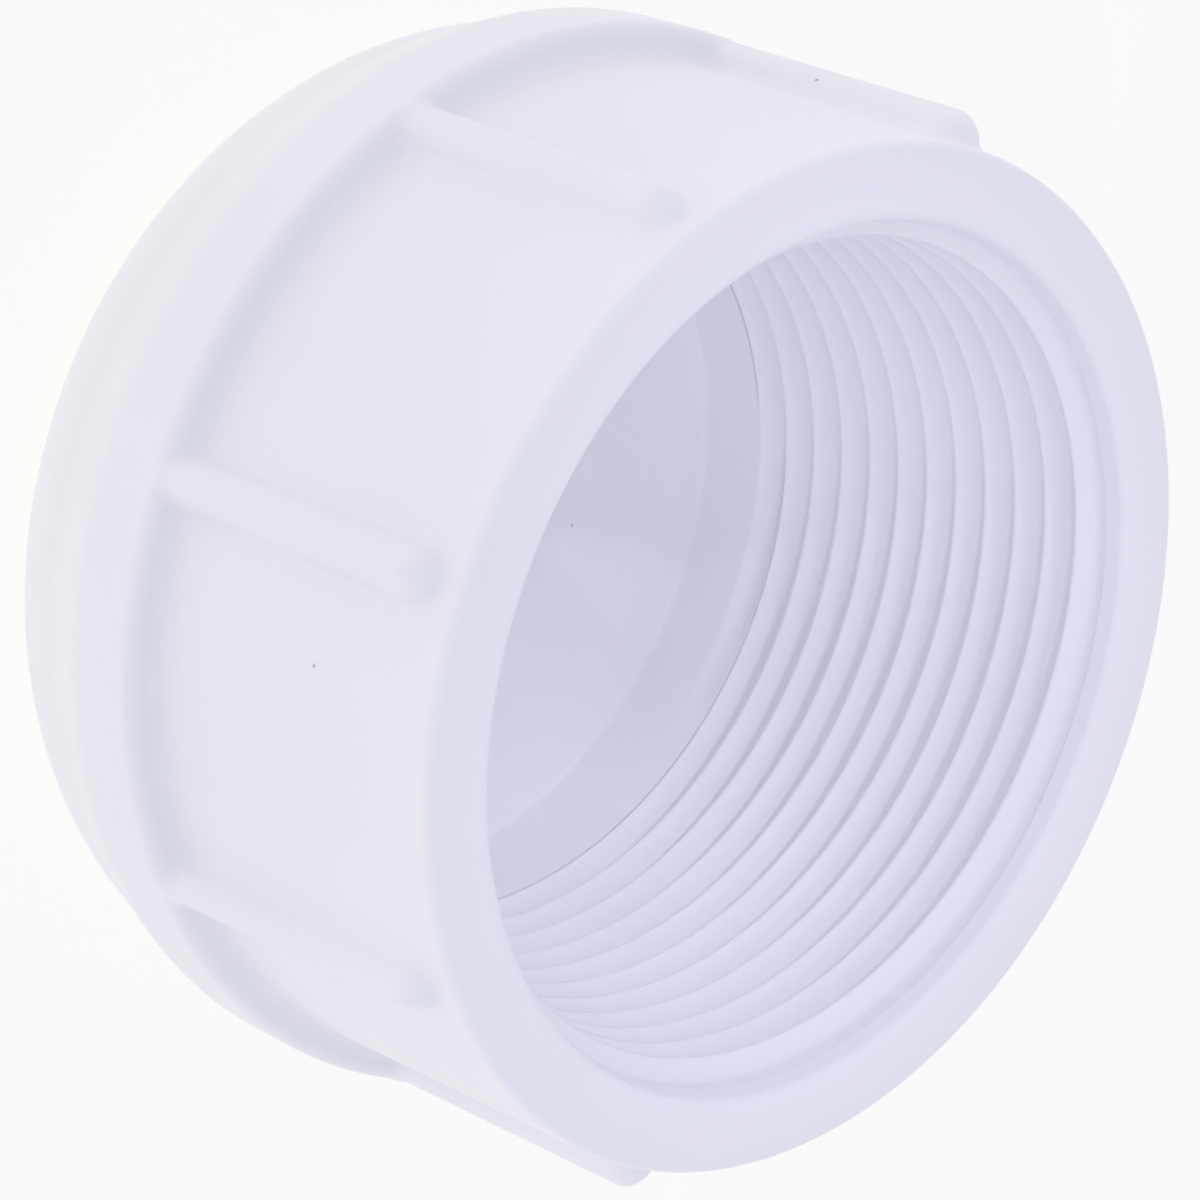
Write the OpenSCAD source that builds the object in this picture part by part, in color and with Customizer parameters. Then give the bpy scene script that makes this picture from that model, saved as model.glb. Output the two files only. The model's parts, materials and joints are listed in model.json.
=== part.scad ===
// Threaded pipe cap for a 1 1/2 inch taper pipe thread, in rigid white plastic.
// It stands on its closed end with the mouth up. The origin is the centre of the outer end face.
// The cap is one moulding. Each node is one moulded region of it, and the regions meet face to face.
// Depths are measured down from the mouth face, as on a drawing of a cap.

/* [Pipe thread] */
// Threads per inch
threads_per_inch = 11.5; // [11.5:0.5:14]
// Root diameter of the thread at the mouth face
thread_root_d = 48.1; // [47.6:0.1:48.6]
// Height of a thread ridge, root to crest
thread_height = 1.1; // [0.8:0.05:1.3]
// Width of the flat on a ridge crest
crest_flat = 0.3; // [0.1:0.05:0.5]
// Depth of the crest nearest the mouth
first_crest_depth = 2.6; // [2.3:0.1:3.2]
// Number of thread ridges
ridge_count = 11; // [6:1:11]
// Loss of diameter for each millimetre of depth
thread_taper = 0.0625; // [0.04:0.0025:0.0625]

/* [Skirt] */
// Outer diameter at the mouth
mouth_d = 56.8; // [55:0.1:58]
// Outer diameter where the skirt meets the closed end
skirt_foot_d = 57.9; // [57:0.1:58.6]
// Depth of the shoulder between skirt and closed end
shoulder_depth = 20.4; // [18:0.2:20.6]
// Height of the mouth rim
rim_height = 1.2; // [1.1:0.05:1.25]
// Rounding of the rim on its inner edge
rim_round_in = 1.0; // [0.4:0.1:1.1]
// Rounding of the rim on its outer edge
rim_round_out = 0.4; // [0.2:0.1:0.8]

/* [Closed end] */
// Overall height of the cap
cap_height = 38; // [38:0.5:42]
// Depth of the flat floor inside
floor_depth = 31.5; // [30:0.5:32]
// Diameter of the plain bore below the thread
bore_d = 44.3; // [43:0.1:44.3]
// Diameter of the raised band behind the shoulder
band_d = 61.6; // [61:0.1:64]
// Length of the straight part of the band
band_land = 4.8; // [3:0.2:5]
// Length of the slope from the band down to the domed end
band_slope = 2.6; // [1:0.2:2.8]
// Diameter of the domed end
dome_d = 58.8; // [58:0.1:60]
// Rounding between the domed end's side and its flat face
dome_round = 10; // [6:0.5:10]
// Rounding on the front edge of the band
shoulder_round = 0.5; // [0.2:0.1:1]

/* [Grip ribs] */
// Number of ribs round the skirt
rib_count = 8; // [4:1:12]
// Diameter over the rib crests at the mouth, from where they widen with the skirt
rib_crest_d = 60.4; // [59.8:0.1:60.6]
// Radius of the rounded rib crest, seen from the mouth
rib_crest_r = 1.3; // [1:0.1:1.6]
// Slope of the rib's sides from the radial direction
rib_side_angle = 20; // [10:1:30]
// Distance from the mouth face to the rib's rounded nose
rib_setback = 1.5; // [0.5:0.1:3]
// Radius of the rib's rounded nose
rib_nose_r = 1.5; // [0.8:0.1:1.8]

/* [Hidden] */
$fn = 96;
pitch = 25.4 / threads_per_inch;
ridge_base = crest_flat + 2 * thread_height * tan(30);
floor_z = cap_height - floor_depth;
shoulder_z = cap_height - shoulder_depth;
rim_z = cap_height - rim_height;
slope_top_z = shoulder_z - band_land;
slope_end_z = slope_top_z - band_slope;
rib_step = 360 / rib_count;
skirt_draft = atan((skirt_foot_d - mouth_d) / 2 / shoulder_depth);
plastic = [0.93, 0.93, 0.95];

function skirt_r(depth) = (mouth_d + (skirt_foot_d - mouth_d) * depth / shoulder_depth) / 2;
function root_r(depth) = (thread_root_d - thread_taper * depth) / 2;
function crest_depth(i) = first_crest_depth + i * pitch;

// Depth at which the root cone stops and the plain bore begins
thread_end = crest_depth(ridge_count - 1) + ridge_base / 2;

// What is cut from a square corner to round it: the corner is at the origin, the solid in +X +Y.
module corner_cut(r) {
    difference() {
        translate([-1, -1])
            square(r + 1);
        translate([r, r])
            circle(r);
    }
}

// Half section of the whole closed end, without the bore.
module closed_end_section() {
    difference() {
        polygon([[0, 0], [dome_d / 2, 0], [dome_d / 2, slope_end_z], [band_d / 2, slope_top_z],
                 [band_d / 2, shoulder_z], [0, shoulder_z]]);
        translate([dome_d / 2, 0])
            mirror([1, 0])
                corner_cut(dome_round);
        translate([band_d / 2, shoulder_z])
            rotate(180)
                corner_cut(shoulder_round);
    }
}

// Half section of the space inside: the thread's root cone, then the plain bore.
module bore_section() {
    polygon([[0, cap_height + 1], [root_r(-1), cap_height + 1], [root_r(thread_end), cap_height - thread_end],
             [bore_d / 2, cap_height - thread_end], [bore_d / 2, floor_z], [0, floor_z]]);
}

// The domed end closes the cap and holds the foot of the plain bore.
module domed_end() {
    color(plastic)
        rotate_extrude()
            difference() {
                intersection() {
                    closed_end_section();
                    square([band_d, slope_end_z]);
                }
                bore_section();
            }
}

// The raised band between the dome and the shoulder.
module end_band() {
    color(plastic)
        rotate_extrude()
            difference() {
                intersection() {
                    closed_end_section();
                    translate([0, slope_end_z])
                        square([band_d, shoulder_z - slope_end_z]);
                }
                bore_section();
            }
}

module skirt_wall() {
    color(plastic)
        rotate_extrude()
            difference() {
                polygon([[0, shoulder_z], [skirt_r(shoulder_depth), shoulder_z],
                         [skirt_r(rim_height), rim_z], [0, rim_z]]);
                bore_section();
            }
}

module mouth_rim() {
    color(plastic)
        rotate_extrude()
            difference() {
                polygon([[root_r(rim_height), rim_z], [skirt_r(rim_height), rim_z],
                         [skirt_r(0), cap_height], [root_r(0), cap_height]]);
                translate([root_r(0), cap_height])
                    mirror([0, 1])
                        corner_cut(rim_round_in);
                translate([skirt_r(0), cap_height])
                    rotate(180)
                        corner_cut(rim_round_out);
            }
}

// One ridge for each turn of the thread. Every crest is a true cylinder, so a gauge pin seats on it.
module internal_thread() {
    color(plastic)
        for (i = [0:ridge_count - 1])
            thread_ridge(crest_depth(i));
}

module thread_ridge(depth) {
    crest_r = root_r(depth) - thread_height;
    rotate_extrude()
        polygon([[root_r(depth - ridge_base / 2), cap_height - depth + ridge_base / 2],
                 [crest_r, cap_height - depth + crest_flat / 2],
                 [crest_r, cap_height - depth - crest_flat / 2],
                 [root_r(depth + ridge_base / 2), cap_height - depth - ridge_base / 2]]);
}

// Outline of a rib seen from the mouth: a round crest on two sloping sides.
module rib_outline() {
    crest_x = rib_crest_d / 2 - rib_crest_r;
    side_x = crest_x + rib_crest_r * sin(rib_side_angle);
    side_y = rib_crest_r * cos(rib_side_angle);
    foot_x = mouth_d / 2 - 1;
    foot_y = side_y + (side_x - foot_x) * tan(rib_side_angle);
    translate([crest_x, 0])
        circle(rib_crest_r);
    polygon([[foot_x, -foot_y], [side_x, -side_y], [side_x, side_y], [foot_x, foot_y]]);
}

// Half section that trims every rib to the skirt and rounds its nose at the mouth end.
module rib_envelope() {
    nose_z = cap_height - rib_setback;
    nose_x = rib_crest_d / 2 + (rib_setback + rib_nose_r) * tan(skirt_draft);
    difference() {
        polygon([[skirt_r(shoulder_depth), shoulder_z], [band_d / 2, shoulder_z],
                 [band_d / 2, nose_z], [skirt_r(rib_setback), nose_z]]);
        translate([nose_x, nose_z])
            rotate(180)
                corner_cut(rib_nose_r);
    }
}

// A rib leans outwards with the skirt's draft, so its crest is flush with the band at the shoulder.
module grip_rib(i) {
    color(plastic)
        rotate((i - 1) * rib_step)
            intersection() {
                translate([0, 0, cap_height])
                    rotate([0, -skirt_draft, 0])
                        translate([0, 0, -shoulder_depth - 1])
                            linear_extrude(shoulder_depth + 1)
                                rib_outline();
                rotate_extrude()
                    rib_envelope();
            }
}

domed_end();
end_band();
skirt_wall();
mouth_rim();
internal_thread();
for (i = [1:rib_count])
    grip_rib(i);
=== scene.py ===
"""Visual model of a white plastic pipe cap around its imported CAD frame.

Every CAD node gets one finished piece. The outer surface, with the fillets where the ribs meet the
skirt and the band, is the zero level of one distance function, so neighbouring pieces share it exactly.
Lengths are in millimetres while a mesh is built, and in metres once it is in Blender.
"""
import json
import math

import bpy
import numpy as np
from mathutils import Matrix, Vector


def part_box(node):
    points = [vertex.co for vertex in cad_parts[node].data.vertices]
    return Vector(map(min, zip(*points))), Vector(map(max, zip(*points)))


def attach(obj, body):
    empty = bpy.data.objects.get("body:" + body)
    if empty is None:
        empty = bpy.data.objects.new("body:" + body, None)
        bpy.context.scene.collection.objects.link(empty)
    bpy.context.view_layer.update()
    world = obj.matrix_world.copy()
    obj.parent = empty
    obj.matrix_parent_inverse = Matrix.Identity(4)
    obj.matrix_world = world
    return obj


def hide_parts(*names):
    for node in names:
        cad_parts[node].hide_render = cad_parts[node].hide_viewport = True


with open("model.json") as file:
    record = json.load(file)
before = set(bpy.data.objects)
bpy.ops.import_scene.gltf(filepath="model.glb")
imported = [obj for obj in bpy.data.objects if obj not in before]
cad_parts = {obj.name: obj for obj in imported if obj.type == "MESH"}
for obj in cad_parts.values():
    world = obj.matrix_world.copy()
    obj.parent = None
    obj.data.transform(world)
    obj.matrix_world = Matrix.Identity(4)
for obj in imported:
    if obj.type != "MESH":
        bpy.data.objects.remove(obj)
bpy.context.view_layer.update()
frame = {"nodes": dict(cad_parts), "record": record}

MM = 0.001


def top(node):
    """Height of a CAD node's top, in millimetres."""
    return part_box(node)[1].z / MM


def foot(node):
    """Height of a CAD node's foot, in millimetres."""
    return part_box(node)[0].z / MM


def reach(node):
    """Largest radius of a round CAD node, in millimetres."""
    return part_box(node)[1].x / MM


def mount(name):
    """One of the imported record's mounts."""
    return next(m for m in frame["record"]["mounts"] if m["name"] == name)


# Heights and radii that the CAD frame gives.
CAP_H = top("mouth_rim")
RIM_Z = foot("mouth_rim")
SHOULDER_Z = top("end_band")
KINK_Z = foot("end_band")
BAND_R = reach("end_band")
BORE_R = mount("pipe_thread")["dims"]["r_mm"]

# The skirt is a cone with a small draft.
DRAFT = (reach("skirt_wall") - reach("mouth_rim")) / (RIM_Z - SHOULDER_Z)
MOUTH_R = reach("mouth_rim") - DRAFT * (CAP_H - RIM_Z)

# Closed end: the floor inside, the large rounding, and the dome, which swells into the band
# between two heights.
FLOOR_Z = 6.5
END_ROUND = 10.0
DOME_R = BAND_R - 1.4
SWELL = (8.6, 13.4)
BAND_EDGE = 0.85
SHOULDER_FILLET = 0.95
FLOOR_FILLET = 0.4

# Mouth rim: its outer rounding, the inner one, which is wider than it is deep, and the slope
# that leads in to the thread.
RIM_OUT = 0.6
RIM_IN = 1.0
RIM_IN_DEPTH = 0.55
RIM_IN_END = 170
LIP_R = 24.15
LEAD_R = 23.95

# Ribs. A rib's grid of points reaches to each side as far as its fillets do, and a little below
# the shoulder.
RIB_COUNT = sum(name.startswith("grip_rib_") for name in frame["nodes"])
RIB_CREST_R = 30.2
RIB_HALF_WIDTH = 1.3
RIB_SIDE = math.radians(20)
RIB_CREST_ROUND = 1.3
RIB_NOSE_Z = top("grip_rib_1")
RIB_NOSE_ROUND = 1.8
RIB_FILLET = 0.55
RIB_REACH = 2.8
RIB_CROWDING = 0.8
RIB_GRID_FOOT = 1.3
RIB_NOSE_ZONE = 2.0
RIB_SUNK = 0.08
RIB_TAIL_Z = SHOULDER_Z - 0.7

# Thread: a right-hand 1 1/2 inch taper pipe thread, with its run-in and run-out in turns.
PITCH = 25.4 / 11.5
TAPER = 1 / 32
ROOT_R = 24.15
THREAD_H = 1.17
ROOT_FLAT = 0.27
CREST_FLAT = 0.12
FLANK_SOFT = 0.3
CHAMFER_SLOPE = 1.6
CHAMFER_SOFT = 0.15
FIRST_CREST = 2.6
FIRST_CREST_ANGLE = math.radians(118.8)
RUN_IN = (-0.5, -0.15)
RUN_OUT = (10.5, 10.66)
SLEEVE_R = 24.9
SLEEVE_FOOT_Z = KINK_Z + 0.3
ROWS_PER_PITCH = 18
ROW_TURNS = (-3, 14)

# Meshing. Ribs lie a skin's depth under the surface that they share with the skirt and the band.
SEGMENTS = 420
LINE_STEP = 1.5
ARC_STEP = 5
SKIN = 0.003
INSIDE_R = 25
OUTSIDE_R = 33


# ---------------------------------------------------------------- distance functions

def round_min(a, b, radius):
    """Union of two distances with a fillet of that radius."""
    corner = np.hypot(np.maximum(radius - a, 0), np.maximum(radius - b, 0))
    return np.maximum(radius, np.minimum(a, b)) - corner


def round_max(a, b, radius):
    """Intersection of two distances with its edge rounded to that radius."""
    return -round_min(-a, -b, radius)


def skirt_r(z):
    return MOUTH_R + DRAFT * (CAP_H - z)


def body_distance(r, z):
    """Outer surface of the skirt, the mouth's outer edge, the shoulder and the band."""
    skirt = round_max((r - skirt_r(z)) / math.hypot(1, DRAFT), z - CAP_H, RIM_OUT)
    band = round_max(r - BAND_R, z - SHOULDER_Z, BAND_EDGE)
    return round_min(skirt, band, SHOULDER_FILLET)


def rib_distance(x, y, z):
    """A rib on the +X side: a round crest on sloping sides, with a round nose, leaning with the skirt."""
    crest = RIB_CREST_R + DRAFT * (CAP_H - z)
    side = (np.abs(y) - RIB_HALF_WIDTH) * math.cos(RIB_SIDE) + (x - crest + 1) * math.sin(RIB_SIDE)
    profile = round_max(side, x - crest, RIB_CREST_ROUND)
    nosed = round_max(profile, z - RIB_NOSE_Z, RIB_NOSE_ROUND)
    return np.maximum(nosed, RIB_TAIL_Z - z)


def cap_distance(x, y, z):
    """The outer surface round one rib, with its fillets."""
    r = np.hypot(x, y)
    return np.maximum(round_min(body_distance(r, z), rib_distance(x, y, z), RIB_FILLET), r - BAND_R)


def crossing(distance, low, high):
    """Where a distance function is zero between low, which is inside, and high, which is outside."""
    for _ in range(40):
        middle = (low + high) / 2
        inside = distance(middle) < 0
        low = np.where(inside, middle, low)
        high = np.where(inside, high, middle)
    return (low + high) / 2


def smooth_step(edges, value):
    t = np.clip((value - edges[0]) / (edges[1] - edges[0]), 0, 1)
    return t * t * (3 - 2 * t)


def soft_min(a, b, blend):
    """The smaller of two values, with a soft change from one to the other."""
    return np.minimum(a, b) - np.maximum(blend - np.abs(a - b), 0) ** 2 / (4 * blend)


# ---------------------------------------------------------------- meshes from patches

def unit(vectors):
    return vectors / np.maximum(np.linalg.norm(vectors, axis=-1, keepdims=True), 1e-12)


def weld(points):
    """Numbers for points that lie in one place, and those places."""
    keys = np.round(points / 1e-5).astype(np.int64)
    _, first, number = np.unique(keys, axis=0, return_index=True, return_inverse=True)
    return points[first], number.reshape(-1)


def grid_faces(ids):
    """Corner indices of a grid's quads."""
    return np.stack([ids[:-1, :-1], ids[:-1, 1:], ids[1:, 1:], ids[1:, :-1]], -1).reshape(-1, 4)


class Patchwork:
    """A closed mesh made of grids of points with normals. Shared edges are welded."""

    def __init__(self):
        self.points = []
        self.normals = []
        self.faces = []
        self.count = 0

    def add(self, points, normals):
        """A grid of points, shaped (rows, columns, 3), with the direction that its surface faces."""
        ids = np.arange(points.shape[0] * points.shape[1]).reshape(points.shape[:2])
        self.add_faces(points.reshape(-1, 3), np.broadcast_to(normals, points.shape).reshape(-1, 3),
                       grid_faces(ids))

    def add_faces(self, points, normals, faces):
        self.points.append(points)
        self.normals.append(unit(np.array(normals, float)))
        self.faces += [[c + self.count for c in face] for face in faces.tolist()]
        self.count += len(points)

    def piece(self, name, material, node):
        """The finished Blender piece, which rides on the cap and stands for its CAD node."""
        points = np.concatenate(self.points)
        normals = np.concatenate(self.normals)
        places, number = weld(points)
        corners, loop_normals = [], []
        for face in self.faces:
            ring = [c for i, c in enumerate(face) if number[c] != number[face[i - 1]]]
            if len({number[c] for c in ring}) < 3:
                continue
            a, b, c = (points[ring[0]], points[ring[1]], points[ring[2]])
            if len(ring) > 3:
                facing = np.cross(c - a, points[ring[3]] - b)
            else:
                facing = np.cross(b - a, c - a)
            if facing @ normals[ring].sum(0) < 0:
                ring.reverse()
            corners.append([int(number[c]) for c in ring])
            loop_normals += [normals[c] for c in ring]
        mesh = bpy.data.meshes.new(name)
        mesh.from_pydata((places * MM).tolist(), [], corners)
        mesh.shade_smooth()
        mesh.normals_split_custom_set(loop_normals)
        mesh.update()
        obj = bpy.data.objects.new(name, mesh)
        bpy.context.scene.collection.objects.link(obj)
        mesh.materials.append(material)
        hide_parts(node)
        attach(obj, "root")
        return obj


# ---------------------------------------------------------------- pieces of revolution

def line(start, end):
    """Profile points from start to end as (r, z, normal r, normal z), facing right of the way they go."""
    length = math.dist(start, end)
    normal = ((end[1] - start[1]) / length, (start[0] - end[0]) / length)
    t = np.linspace(0, 1, max(2, math.ceil(length / LINE_STEP) + 1))[:, None]
    points = np.array(start) + t * (np.array(end) - np.array(start))
    return np.hstack([points, np.broadcast_to(normal, points.shape)])


def arc(centre, radius, start, end, hollow=False, squash=1.0):
    """Profile points on an arc, angles in degrees from +R towards +Z. A hollow arc faces its centre."""
    angles = np.radians(np.linspace(start, end, max(3, math.ceil(abs(end - start) / ARC_STEP) + 1)))
    places = np.stack([np.cos(angles), squash * np.sin(angles)], -1)
    normals = np.stack([squash * np.cos(angles), np.sin(angles)], -1)
    return np.hstack([np.array(centre) + radius * places, normals * (-1 if hollow else 1)])


def outer_curve(heights):
    """Profile points of the cap's outer surface at these heights."""
    r = crossing(lambda x: body_distance(x, heights), heights * 0 + INSIDE_R, heights * 0 + OUTSIDE_R)
    return np.stack([r, heights, *slope(body_distance, r, heights)], -1)


def slope(distance, *at):
    """Gradient of a distance function, by central differences."""
    step = 1e-4
    gradient = []
    for axis in range(len(at)):
        ahead = [v + step * (k == axis) for k, v in enumerate(at)]
        behind = [v - step * (k == axis) for k, v in enumerate(at)]
        gradient.append((distance(*ahead) - distance(*behind)) / (2 * step))
    return gradient


def revolve(patchwork, profile):
    """Adds a profile, turned about Z."""
    angles = np.linspace(0, 2 * np.pi, SEGMENTS + 1)
    around = np.stack([np.cos(angles), np.sin(angles)], -1)
    around[-1] = around[0]
    r, z, nr, nz = (profile[:, k, None, None] for k in range(4))
    flat = np.ones((1, SEGMENTS + 1, 1))
    patchwork.add(np.concatenate([r * around[None], z * flat], -1),
                  np.concatenate([nr * around[None], nz * flat], -1))


def swell(z):
    """How far the closed end has swelled out from the dome towards the band at a height, and its slope."""
    low, high = SWELL
    t = np.clip((z - low) / (high - low), 0, 1)
    rise = BAND_R - DOME_R
    return rise * t * t * (3 - 2 * t), rise * 6 * t * (1 - t) / (high - low)


def dome_curve():
    """Profile points of the large rounding, from the flat end face up to the level where it is upright."""
    turn = np.linspace(0, np.pi / 2, 46)
    z = END_ROUND * (1 - np.cos(turn))
    rise, lean = swell(z)
    r = DOME_R - END_ROUND + END_ROUND * np.sin(turn) + rise
    return np.stack([r, z, np.sin(turn), -np.cos(turn) - lean * np.sin(turn)], -1)


def swell_curve(start, end):
    """Profile points of the swelling side between two heights."""
    z = np.linspace(start, end, max(2, math.ceil((end - start) / 0.3) + 1))
    rise, lean = swell(z)
    return np.stack([DOME_R + rise, z, np.ones_like(z), -lean], -1)


def domed_end(material):
    """The closed end: a flat face, a large rounding, and inside a flat floor with a fillet."""
    side = swell_curve(END_ROUND, KINK_Z)
    work = Patchwork()
    for profile in (
        line((0, 0), (DOME_R - END_ROUND, 0)),
        dome_curve(),
        side,
        line(side[-1, :2], (BORE_R, KINK_Z)),
        line((BORE_R, KINK_Z), (BORE_R, FLOOR_Z + FLOOR_FILLET)),
        arc((BORE_R - FLOOR_FILLET, FLOOR_Z + FLOOR_FILLET), FLOOR_FILLET, 0, -90, hollow=True),
        line((BORE_R - FLOOR_FILLET, FLOOR_Z), (0, FLOOR_Z)),
    ):
        revolve(work, profile)
    return work.piece("cap_domed_end", material, "domed_end")


def end_band(material):
    """The raised band: its side, the rounded front edge, the shoulder and the foot of the bore."""
    edge_z = SHOULDER_Z - BAND_EDGE
    fillet_r = skirt_r(SHOULDER_Z) + SHOULDER_FILLET
    side = swell_curve(KINK_Z, edge_z)
    work = Patchwork()
    for profile in (
        side,
        arc((BAND_R - BAND_EDGE, edge_z), BAND_EDGE, 0, 90),
        line((BAND_R - BAND_EDGE, SHOULDER_Z), (fillet_r, SHOULDER_Z)),
        line((fillet_r, SHOULDER_Z), (SLEEVE_R, SHOULDER_Z)),
        line((SLEEVE_R, SHOULDER_Z), (SLEEVE_R, SLEEVE_FOOT_Z)),
        line((SLEEVE_R, SLEEVE_FOOT_Z), (BORE_R, SLEEVE_FOOT_Z)),
        line((BORE_R, SLEEVE_FOOT_Z), (BORE_R, KINK_Z)),
        line((BORE_R, KINK_Z), side[0, :2]),
    ):
        revolve(work, profile)
    return work.piece("cap_end_band", material, "end_band")


def skirt_wall(material):
    """The conical skirt, with the fillet that runs out onto the shoulder."""
    heights = np.concatenate([
        SHOULDER_Z + SHOULDER_FILLET * (1 - np.cos(np.linspace(0, np.pi / 2, 14))),
        np.linspace(SHOULDER_Z + SHOULDER_FILLET, RIM_Z, 16)[1:],
    ])
    heights[0] += 1e-4
    work = Patchwork()
    outside = outer_curve(heights)
    for profile in (
        outside,
        line(outside[-1, :2], (SLEEVE_R, RIM_Z)),
        line((SLEEVE_R, RIM_Z), (SLEEVE_R, SHOULDER_Z)),
        line((SLEEVE_R, SHOULDER_Z), outside[0, :2]),
    ):
        revolve(work, profile)
    return work.piece("cap_skirt_wall", material, "skirt_wall")


def mouth_rim(material):
    """The flat mouth face with its roundings, and the slope that leads in to the thread."""
    edge_z = CAP_H - RIM_OUT
    edge_r = skirt_r(edge_z) - RIM_OUT
    face_r = LIP_R + RIM_IN
    inner = arc((face_r, CAP_H - RIM_IN_DEPTH), RIM_IN, 90, RIM_IN_END, squash=RIM_IN_DEPTH / RIM_IN)
    work = Patchwork()
    for profile in (
        line((skirt_r(RIM_Z), RIM_Z), (skirt_r(edge_z), edge_z)),
        arc((edge_r, edge_z), RIM_OUT, 0, 90),
        line((edge_r, CAP_H), (face_r, CAP_H)),
        inner,
        line(inner[-1, :2], (LEAD_R, RIM_Z)),
        line((LEAD_R, RIM_Z), (skirt_r(RIM_Z), RIM_Z)),
    ):
        revolve(work, profile)
    return work.piece("cap_mouth_rim", material, "mouth_rim")


# ---------------------------------------------------------------- thread

def thread_radius(angle, depth):
    """Radius of the bore at an angle and a depth from the mouth face: a helical ridge on a taper."""
    turns = (angle - FIRST_CREST_ANGLE) / (2 * np.pi)
    position = (depth - FIRST_CREST) / PITCH + turns
    crest = np.round(position)
    groove = np.floor(position) + 0.5
    climb = (1 - 2 * np.abs(position - crest) - ROOT_FLAT) / (1 - ROOT_FLAT - CREST_FLAT)
    ridge = soft_min(-soft_min(-climb, 0, FLANK_SOFT), 1, FLANK_SOFT)
    filled = 1 - (1 - ridge) * (1 - smooth_step(RUN_OUT, groove - turns))
    height = THREAD_H * filled * smooth_step(RUN_IN, crest - turns)
    chamfer = CHAMFER_SLOPE * (depth - (CAP_H - RIM_Z))
    return np.maximum(ROOT_R - TAPER * depth - soft_min(height, chamfer, CHAMFER_SOFT), BORE_R)


def internal_thread(material):
    """A sleeve whose inside is the thread. Its rows of points follow the helix, to keep crests sharp."""
    first, last = CAP_H - RIM_Z, CAP_H - SLEEVE_FOOT_Z
    angles = np.linspace(0, 2 * np.pi, SEGMENTS + 1)
    turns = (angles - FIRST_CREST_ANGLE) / (2 * np.pi)
    steps = np.arange(ROWS_PER_PITCH) / ROWS_PER_PITCH
    along = (np.arange(*ROW_TURNS)[:, None] + steps).reshape(-1)
    depth = np.clip(FIRST_CREST + PITCH * (along[:, None] - turns), first, last)
    around = np.stack([np.cos(angles), np.sin(angles)], -1)
    around[-1] = around[0]

    def inside(a, d):
        r = thread_radius(a, d)
        return np.stack([r * np.cos(a), r * np.sin(a), CAP_H - d], -1)

    r = thread_radius(angles, depth)
    points = np.concatenate([r[..., None] * around, (CAP_H - depth)[..., None]], -1)
    step = 1e-4
    by_angle = inside(angles + step / r, depth) - inside(angles - step / r, depth)
    by_depth = inside(angles, depth + step) - inside(angles, depth - step)
    normals = unit(np.cross(by_angle, by_depth))
    outward = points * [1, 1, 0]
    normals *= np.where((normals * outward).sum(-1, keepdims=True) > 0, -1, 1)
    work = Patchwork()
    work.add(points, normals)
    inner_top = thread_radius(0.0, first)
    for profile in (
        line((BORE_R, SLEEVE_FOOT_Z), (SLEEVE_R, SLEEVE_FOOT_Z)),
        line((SLEEVE_R, SLEEVE_FOOT_Z), (SLEEVE_R, RIM_Z)),
        line((SLEEVE_R, RIM_Z), (inner_top, RIM_Z)),
    ):
        revolve(work, profile)
    return work.piece("cap_internal_thread", material, "internal_thread")


# ---------------------------------------------------------------- ribs

def rib_grid():
    """Points and normals of one rib on the +X side, out to where its fillets end."""
    turn = np.pi / 2 * RIB_CROWDING
    side = RIB_REACH * np.sin(np.linspace(-1, 1, 61) * turn) / math.sin(turn)
    heights = np.concatenate([
        np.linspace(SHOULDER_Z - RIB_GRID_FOOT, SHOULDER_Z - BAND_EDGE, 6)[:-1],
        SHOULDER_Z - BAND_EDGE * (1 - np.sin(np.linspace(0, np.pi / 2, 16)))[:-1],
        SHOULDER_Z + SHOULDER_FILLET * (1 - np.cos(np.linspace(0, np.pi / 2, 16))),
        np.linspace(SHOULDER_Z + SHOULDER_FILLET + 0.1, RIB_NOSE_Z - RIB_NOSE_ZONE - 0.1, 40),
        np.linspace(RIB_NOSE_Z - RIB_NOSE_ZONE, CAP_H - RIM_OUT, 36),
        CAP_H - RIM_OUT * (1 - np.sin(np.linspace(0, np.pi / 2, 8)))[1:-1],
    ])
    y, z = np.meshgrid(side, heights)
    x = crossing(lambda v: cap_distance(v, y, z), y * 0 + INSIDE_R, y * 0 + OUTSIDE_R)
    normals = unit(np.stack(slope(cap_distance, x, y, z), -1))
    points = np.stack([x, y, z], -1) - SKIN * normals
    return points, normals


def grip_rib(index, grid, material):
    """One rib: the grid outside, and a back that lies just under the skirt's and the band's surface."""
    points, normals = grid
    edges = [points[:, 0], points[:, -1]]
    back = [edge - RIB_SUNK * unit(edge * [1, 1, 0]) for edge in edges]
    work = Patchwork()
    work.add(points, normals)
    for edge, under, way in zip(edges, back, (-1, 1)):
        work.add(np.stack([edge, under], 1), (0, way, 0))
    work.add(np.stack(back, 1), (-1, 0, 0))
    for row, way in ((0, -1), (-1, 1)):
        ring = np.concatenate([points[row], [back[1][row]], [back[0][row]]])
        work.add_faces(ring, np.broadcast_to((0, 0, way), ring.shape), np.arange(len(ring))[None])
    name = f"grip_rib_{index}"
    rib = work.piece("cap_" + name, material, name)
    turn = Matrix.Rotation(2 * math.pi * (index - 1) / RIB_COUNT, 4, "Z")
    rib.data.transform(turn)
    return rib


# ---------------------------------------------------------------- material

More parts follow.
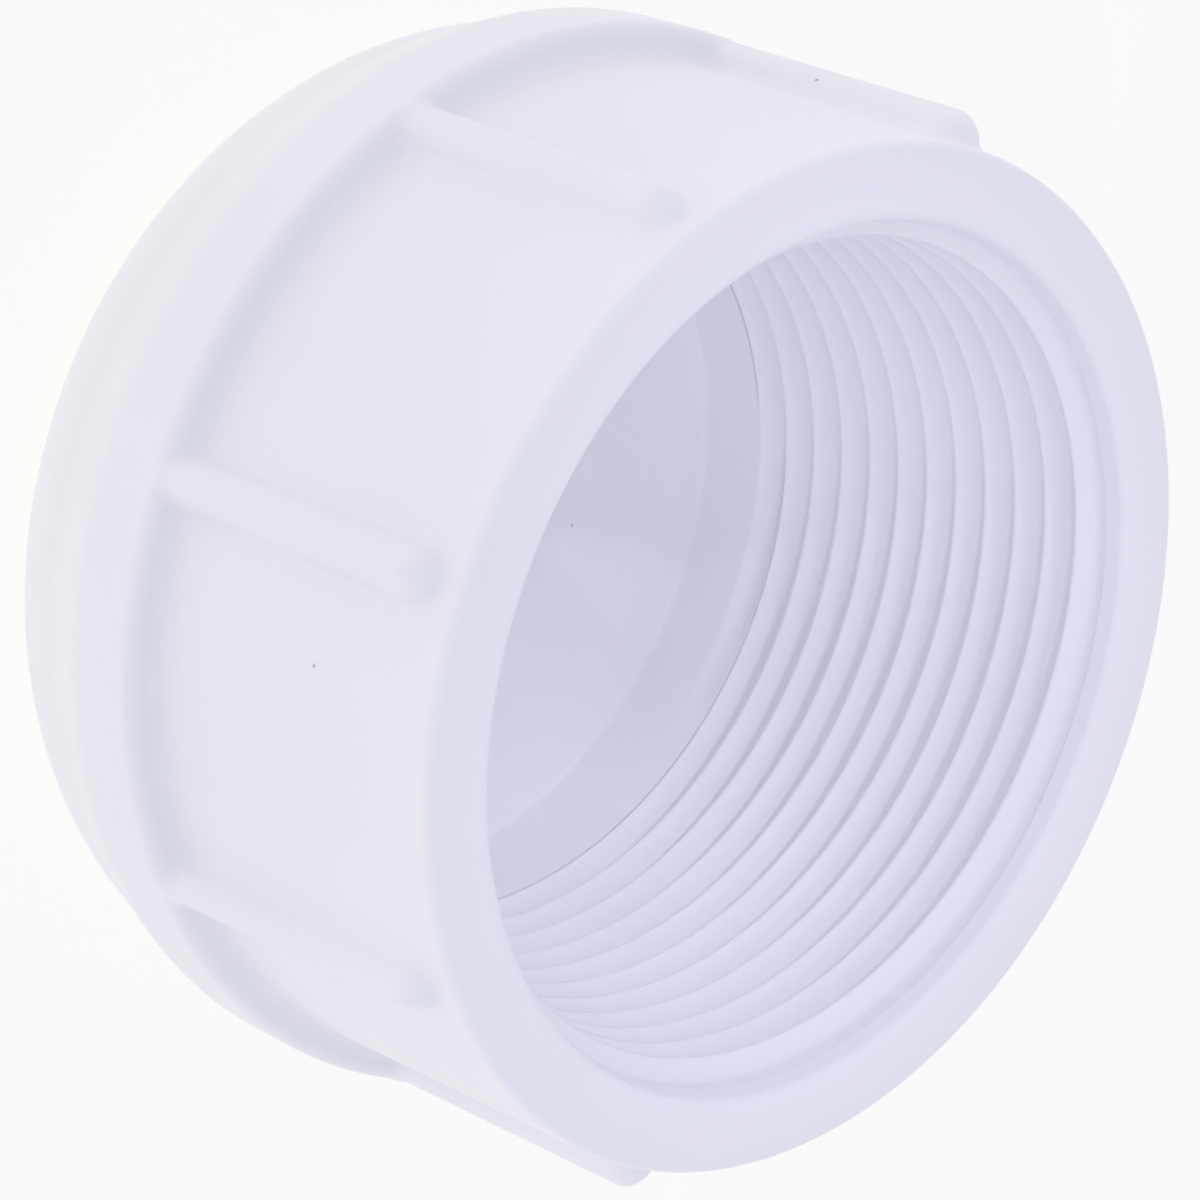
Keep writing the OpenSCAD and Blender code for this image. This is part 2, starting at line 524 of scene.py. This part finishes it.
def white_plastic():
    """Moulded white PVC: satin, with a faint cloudy tint, a fine skin texture and a few tiny specks."""
    material = bpy.data.materials.new("white_pvc_moulded")
    material.use_nodes = True
    nodes, links = material.node_tree.nodes, material.node_tree.links
    shader = nodes["Principled BSDF"]
    shader.inputs["Specular IOR Level"].default_value = 0.45
    shader.inputs["IOR"].default_value = 1.53

    def noise(scale, detail, roughness=0.5):
        node = nodes.new("ShaderNodeTexNoise")
        node.inputs["Scale"].default_value = scale
        node.inputs["Detail"].default_value = detail
        node.inputs["Roughness"].default_value = roughness
        links.new(where.outputs["Object"], node.inputs["Vector"])
        return node.outputs["Fac"]

    def ramp(value, stops):
        node = nodes.new("ShaderNodeValToRGB")
        for element, (place, colour) in zip(node.color_ramp.elements, stops):
            element.position = place
            element.color = (*colour, 1)
        links.new(value, node.inputs["Fac"])
        return node.outputs["Color"]

    def spread(value, low, high):
        node = nodes.new("ShaderNodeMapRange")
        node.inputs["From Min"].default_value = 0.3
        node.inputs["From Max"].default_value = 0.7
        node.inputs["To Min"].default_value = low
        node.inputs["To Max"].default_value = high
        links.new(value, node.inputs["Value"])
        return node.outputs["Result"]

    where = nodes.new("ShaderNodeTexCoord")
    cloud = ramp(noise(70, 3), [(0.35, (0.898, 0.9, 0.912)), (0.65, (0.912, 0.912, 0.926))])
    speck = nodes.new("ShaderNodeTexVoronoi")
    speck.inputs["Scale"].default_value = 130
    links.new(where.outputs["Object"], speck.inputs["Vector"])
    dot = ramp(speck.outputs["Distance"], [(0.010, (0.5, 0.5, 0.55)), (0.020, (1, 1, 1))])
    mixed = nodes.new("ShaderNodeMix")
    mixed.data_type = "RGBA"
    mixed.blend_type = "MULTIPLY"
    mixed.inputs["Factor"].default_value = 1
    links.new(cloud, mixed.inputs["A"])
    links.new(dot, mixed.inputs["B"])
    links.new(mixed.outputs["Result"], shader.inputs["Base Color"])
    links.new(spread(noise(400, 4), 0.36, 0.46), shader.inputs["Roughness"])

    skin = nodes.new("ShaderNodeBump")
    skin.inputs["Strength"].default_value = 0.12
    skin.inputs["Distance"].default_value = 0.00004
    links.new(noise(1500, 3, 0.55), skin.inputs["Height"])
    links.new(skin.outputs["Normal"], shader.inputs["Normal"])
    return material


# ---------------------------------------------------------------- camera, floor and light

def add_camera():
    """A long lens, looking down into the mouth. The view is rolled, so that the mouth faces low right."""
    azimuth, elevation, roll = (math.radians(v) for v in (6.2, 42.02, -111.63))
    aim = Vector((1.04, 0, 20.79)) * MM
    distance = 231.36 * MM
    forward = Vector((math.sin(azimuth) * math.cos(elevation), math.cos(azimuth) * math.cos(elevation),
                      -math.sin(elevation)))
    level = Vector((math.cos(azimuth), -math.sin(azimuth), 0))
    upright = level.cross(forward)
    up = math.cos(roll) * upright + math.sin(roll) * level
    right = forward.cross(up)
    data = bpy.data.cameras.new("camera")
    data.sensor_width = 36
    data.lens = 124.69
    data.clip_start = 0.01
    data.clip_end = 10
    camera = bpy.data.objects.new("camera", data)
    axes = Matrix((right, up, -forward)).transposed().to_4x4()
    camera.matrix_world = Matrix.Translation(aim - distance * forward) @ axes
    bpy.context.scene.collection.objects.link(camera)
    bpy.context.scene.camera = camera


def add_floor():
    """A pale seamless floor that glows faintly, like a light table."""
    side = 3
    mesh = bpy.data.meshes.new("floor")
    mesh.from_pydata([(-side, -side, 0), (side, -side, 0), (side, side, 0), (-side, side, 0)], [],
                     [(0, 1, 2, 3)])
    floor = bpy.data.objects.new("floor", mesh)
    bpy.context.scene.collection.objects.link(floor)
    material = bpy.data.materials.new("pale_floor")
    material.use_nodes = True
    shader = material.node_tree.nodes["Principled BSDF"]
    shader.inputs["Base Color"].default_value = (0.4, 0.4, 0.36, 1)
    shader.inputs["Roughness"].default_value = 0.9
    shader.inputs["Specular IOR Level"].default_value = 0.1
    shader.inputs["Emission Color"].default_value = (1, 1, 1, 1)
    shader.inputs["Emission Strength"].default_value = 0.64
    mesh.materials.append(material)


def add_mouth_light(name, place, power):
    """A beam as wide as the mouth, which fills the cap's inside and makes no highlights."""
    way = Vector(place) - Vector((0, 0, CAP_H * MM))
    data = bpy.data.lights.new(name, "SPOT")
    data.shadow_soft_size = 0.012
    data.spot_size = 2 * math.atan(1.03 * LIP_R * MM * way.z / way.length_squared)
    data.spot_blend = 0.1
    data.energy = power
    data.color = (1, 1, 1.14)
    lamp = bpy.data.objects.new(name, data)
    lamp.location = place
    lamp.rotation_euler = (-way).to_track_quat("-Z", "Y").to_euler()
    lamp.visible_glossy = False
    bpy.context.scene.collection.objects.link(lamp)


def add_world(colour):
    world = bpy.data.worlds.new("studio")
    world.use_nodes = True
    background = world.node_tree.nodes["Background"]
    background.inputs["Color"].default_value = (*colour, 1)
    bpy.context.scene.world = world


scene = bpy.context.scene
scene.view_settings.view_transform = "Standard"
scene.cycles.max_bounces = 16
scene.cycles.diffuse_bounces = 14
add_camera()
add_world((0.77, 0.77, 0.885))
add_floor()
add_mouth_light("mouth_front", (-0.08, -0.42, 0.36), 0.3)
add_mouth_light("mouth_left", (-0.30, -0.20, 0.42), 1.9)
add_mouth_light("mouth_right", (0.25, -0.30, 0.42), 1.4)

plastic = white_plastic()
domed_end(plastic)
end_band(plastic)
skirt_wall(plastic)
mouth_rim(plastic)
internal_thread(plastic)
rib = rib_grid()
for number in range(1, RIB_COUNT + 1):
    grip_rib(number, rib, plastic)

bpy.context.view_layer.update()
